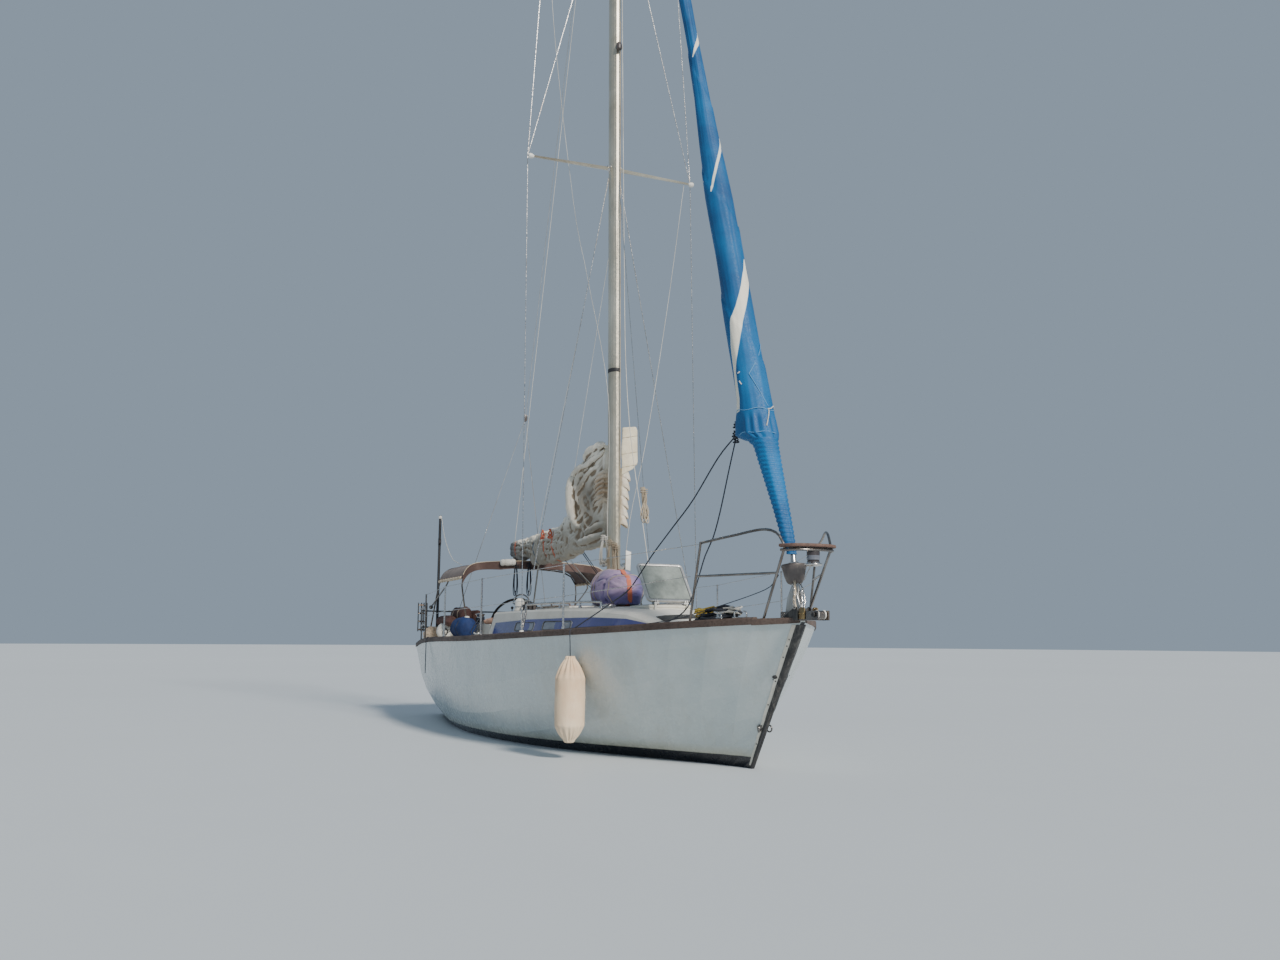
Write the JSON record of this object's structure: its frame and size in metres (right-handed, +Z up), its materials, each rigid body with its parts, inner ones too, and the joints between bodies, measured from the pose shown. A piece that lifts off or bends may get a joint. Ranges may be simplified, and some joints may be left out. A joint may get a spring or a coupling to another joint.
{
  "type": "sailing yacht",
  "caption": "Cruising sailing yacht afloat with furled headsail, lowered mainsail on the boom, wheel steering, cockpit awning, fin keel and spade rudder.",
  "frame": {"origin": "on the centreline in the plane of the water, halfway between stem head and transom", "axes": "+X towards the bow, +Y to port, +Z up"},
  "size_m": [9.975, 3.4266, 16.84],
  "materials": {
    "gelcoat": "gloss",
    "deck_white": "satin",
    "teak": "weathered",
    "black_trim": "satin",
    "antifouling": "matte",
    "stainless": "polished",
    "spar_alloy": "anodised",
    "bronze": "satin",
    "window_acrylic": "gloss",
    "sailcloth": "matte",
    "blue_cover": "matte",
    "brown_canvas": "matte",
    "purple_cloth": "matte",
    "cream_cloth": "matte",
    "white_plastic": "satin",
    "engine_paint": "satin",
    "blue_cloth": "matte",
    "dark_rope": "matte"
  },
  "bodies": {
    "hull_body": {"hull": "gelcoat", "deck": "deck_white", "toe_rail_stbd": "teak", "toe_rail_port": "teak", "stem_plate": "black_trim", "keel": "antifouling", "drive_leg": "spar_alloy", "cabin_sole": "teak", "engine_block": "engine_paint", "window_band_stbd": "window_acrylic", "window_band_port": "window_acrylic", "washboard": "teak", "mast": "spar_alloy", "spreader_lower_stbd": "spar_alloy", "spreader_lower_port": "spar_alloy", "spreader_upper_stbd": "spar_alloy", "spreader_upper_port": "spar_alloy", "shrouds_stbd": "stainless", "shrouds_port": "stainless", "backstay": "stainless", "forestay": "spar_alloy", "genoa_furled": "blue_cover", "furling_drum": "black_trim", "babystay": "stainless", "mainsail_head": "sailcloth", "pulpit": "stainless", "pushpit": "stainless", "lifelines_stbd": "stainless", "lifelines_port": "stainless", "bimini_frame": "black_trim", "bimini_canopy": "brown_canvas", "pedestal": "white_plastic", "bow_roller": "stainless", "winch_stbd": "stainless", "winch_port": "stainless", "handrail_stbd": "teak", "handrail_port": "teak", "fender_hanging": "cream_cloth", "fender_white": "white_plastic", "stern_pole": "black_trim", "sail_bag": "purple_cloth", "blue_bag": "blue_cloth", "brown_bundle": "brown_canvas", "line_heap": "dark_rope"},
    "rudder_body": {"rudder": "antifouling"},
    "propeller_body": {"propeller": "bronze"},
    "wheel_body": {"steering_wheel": "stainless"},
    "boom_body": {"boom": "spar_alloy", "mainsail_heap": "sailcloth"},
    "fore_hatch_body": {"fore_hatch_lid": "window_acrylic"},
    "sliding_hatch_body": {"sliding_hatch": "deck_white"}
  },
  "joints": [
    {"name": "rudder_turn", "type": "hinge", "parent": "hull_body", "child": "rudder_body", "pos_m": [-4.05, 0, -0.4], "axis": [0, 0, 1], "range_deg": [-35, 35]},
    {"name": "wheel_turn", "type": "hinge", "parent": "hull_body", "child": "wheel_body", "pos_m": [-3.66, 0, 1.37], "axis": [1, 0, 0], "range_deg": [-420, 420]},
    {"name": "propeller_spin", "type": "hinge", "parent": "hull_body", "child": "propeller_body", "pos_m": [-2.5, 0, -0.88], "axis": [1, 0, 0], "continuous": true},
    {"name": "boom_swing", "type": "hinge", "parent": "hull_body", "child": "boom_body", "pos_m": [0.165, 0, 2.44], "axis": [0, 0, 1], "range_deg": [-70, 70]},
    {"name": "fore_hatch_turn", "type": "hinge", "parent": "hull_body", "child": "fore_hatch_body", "pos_m": [2.05, 0, 1.608], "axis": [0, 1, 0], "range_deg": [-52, 60]},
    {"name": "sliding_hatch_slide", "type": "slide", "parent": "hull_body", "child": "sliding_hatch_body", "axis": [1, 0, 0], "range_m": [0, 0.55]}
  ],
  "couplings": [
    {"joint": "wheel_turn", "follows": "rudder_turn", "ratio": 12}
  ]
}
